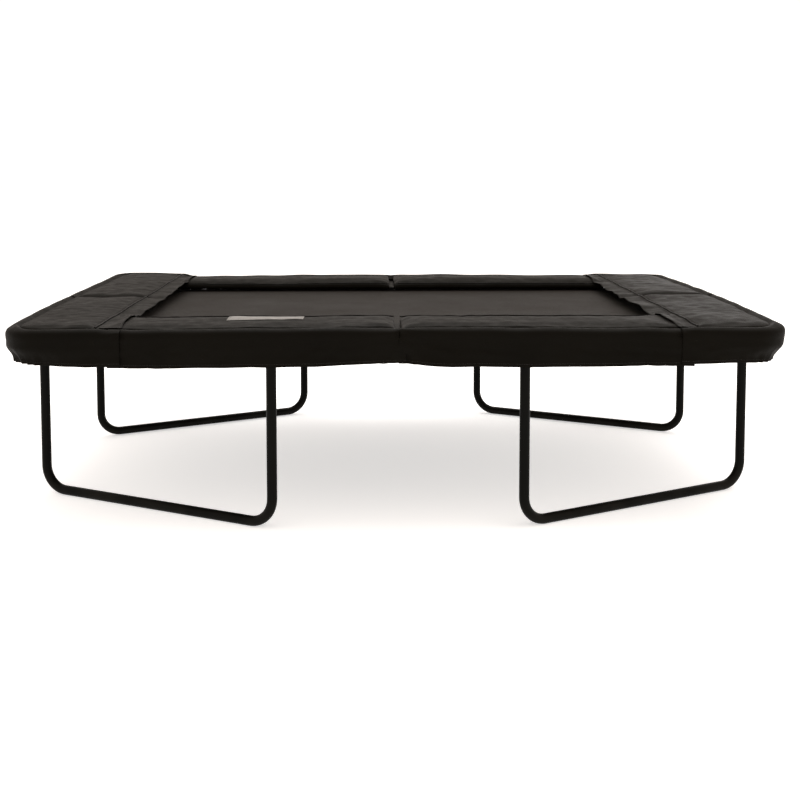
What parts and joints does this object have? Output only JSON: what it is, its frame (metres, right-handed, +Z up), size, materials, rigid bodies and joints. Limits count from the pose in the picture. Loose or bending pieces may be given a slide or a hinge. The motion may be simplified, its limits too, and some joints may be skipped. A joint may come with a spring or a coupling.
{
  "type": "trampoline",
  "caption": "Rectangular garden trampoline with a tube frame on U-shaped legs, a sprung woven mat and padded safety covers with skirts.",
  "frame": {"origin": "on the ground, below the centre of the jumping mat", "axes": "+Z up, +X along the long sides, the front long side faces -Y"},
  "size_m": [3.69, 2.47, 0.954],
  "materials": {
    "frame_paint": "satin black powder coat",
    "zinc": "zinc plated",
    "mat_weave": "woven polypropylene",
    "webbing": "woven webbing",
    "pad_vinyl": "coated fabric with a fine grain",
    "foam": "closed-cell foam"
  },
  "bodies": {
    "frame": {"long_rail_front_left": "frame_paint", "long_rail_front_right": "frame_paint", "long_rail_back_left": "frame_paint", "long_rail_back_right": "frame_paint", "end_rail_left": "frame_paint", "end_rail_right": "frame_paint", "corner_front_left": "frame_paint", "corner_front_right": "frame_paint", "corner_back_left": "frame_paint", "corner_back_right": "frame_paint", "rail_sleeves": "zinc", "sleeve_screws": "zinc", "leg_front_left": "frame_paint", "leg_front_right": "frame_paint", "leg_back_left": "frame_paint", "leg_back_right": "frame_paint", "leg_bolts": "zinc", "leg_washers": "zinc", "leg_nuts": "zinc", "springs_front": "zinc", "springs_back": "zinc", "springs_left": "zinc", "springs_right": "zinc", "pad_front_left": "pad_vinyl", "pad_front_right": "pad_vinyl", "pad_back_left": "pad_vinyl", "pad_back_right": "pad_vinyl", "pad_left_front": "pad_vinyl", "pad_left_back": "pad_vinyl", "pad_right_front": "pad_vinyl", "pad_right_back": "pad_vinyl", "foam_front": "foam", "foam_back": "foam", "foam_left": "foam", "foam_right": "foam", "pad_ties": "webbing"},
    "bed": {"jump_mat": "mat_weave", "mat_border": "webbing", "ring_loops": "webbing", "v_rings": "zinc"}
  },
  "joints": [
    {"name": "bed_bounce", "type": "slide", "parent": "frame", "child": "bed", "axis": [0, 0, 1], "range_m": [-0.35, 0], "stiffness_N_per_m": 5500, "springref_m": 0.02, "deforming": ["springs_front", "springs_back", "springs_left", "springs_right"]}
  ]
}
